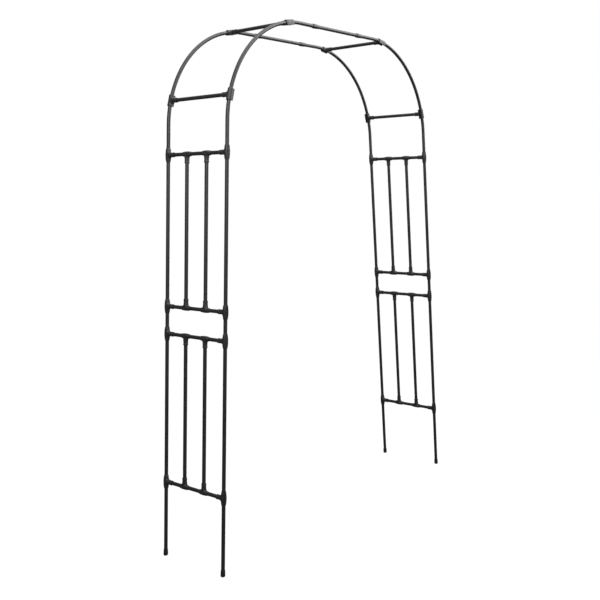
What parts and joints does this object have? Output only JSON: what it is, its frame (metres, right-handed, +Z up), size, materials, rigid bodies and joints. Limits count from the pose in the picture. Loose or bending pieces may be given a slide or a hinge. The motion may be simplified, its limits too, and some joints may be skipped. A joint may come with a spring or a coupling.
{
  "type": "garden trellis arch",
  "caption": "Tall walk-through garden arch of dark coated tube with splayed legs, open ladder side panels, crossbars over a rounded flat-topped crown, and clip-on connectors.",
  "frame": {"origin": "on the ground, midway between the four feet", "axes": "+Z up; +X across the walk-through from the left legs to the right legs; +Y through the walk-through from the front arch to the rear arch"},
  "size_m": [1.774, 0.3844, 2.3785],
  "materials": {
    "coated_steel": "satin charcoal powder coating",
    "connector_plastic": "moulded, fine satin grain",
    "foot_plastic": "moulded, smooth satin"
  },
  "bodies": {
    "root": {"bend_left_front": "coated_steel", "bend_left_rear": "coated_steel", "bend_right_front": "coated_steel", "bend_right_rear": "coated_steel", "crown_bar_left": "coated_steel", "crown_bar_right": "coated_steel", "crown_clip_left_front": "connector_plastic", "crown_clip_left_rear": "connector_plastic", "crown_clip_right_front": "connector_plastic", "crown_clip_right_rear": "connector_plastic", "foot_left_front": "foot_plastic", "foot_left_rear": "foot_plastic", "foot_right_front": "foot_plastic", "foot_right_rear": "foot_plastic", "post_left_front": "coated_steel", "post_left_rear": "coated_steel", "post_right_front": "coated_steel", "post_right_rear": "coated_steel", "post_tee_left_front_1": "connector_plastic", "post_tee_left_front_2": "connector_plastic", "post_tee_left_front_3": "connector_plastic", "post_tee_left_front_4": "connector_plastic", "post_tee_left_rear_1": "connector_plastic", "post_tee_left_rear_2": "connector_plastic", "post_tee_left_rear_3": "connector_plastic", "post_tee_left_rear_4": "connector_plastic", "post_tee_right_front_1": "connector_plastic", "post_tee_right_front_2": "connector_plastic", "post_tee_right_front_3": "connector_plastic", "post_tee_right_front_4": "connector_plastic", "post_tee_right_rear_1": "connector_plastic", "post_tee_right_rear_2": "connector_plastic", "post_tee_right_rear_3": "connector_plastic", "post_tee_right_rear_4": "connector_plastic", "rail_left_1": "coated_steel", "rail_left_2": "coated_steel", "rail_left_3": "coated_steel", "rail_left_4": "coated_steel", "rail_right_1": "coated_steel", "rail_right_2": "coated_steel", "rail_right_3": "coated_steel", "rail_right_4": "coated_steel", "spring_bar_left": "coated_steel", "spring_bar_right": "coated_steel", "spring_clip_left_front": "connector_plastic", "spring_clip_left_rear": "connector_plastic", "spring_clip_right_front": "connector_plastic", "spring_clip_right_rear": "connector_plastic", "top_tube_front": "coated_steel", "top_tube_rear": "coated_steel", "upright_left_lower_front": "coated_steel", "upright_left_lower_rear": "coated_steel", "upright_left_upper_front": "coated_steel", "upright_left_upper_rear": "coated_steel", "upright_right_lower_front": "coated_steel", "upright_right_lower_rear": "coated_steel", "upright_right_upper_front": "coated_steel", "upright_right_upper_rear": "coated_steel"}
  },
  "joints": []
}
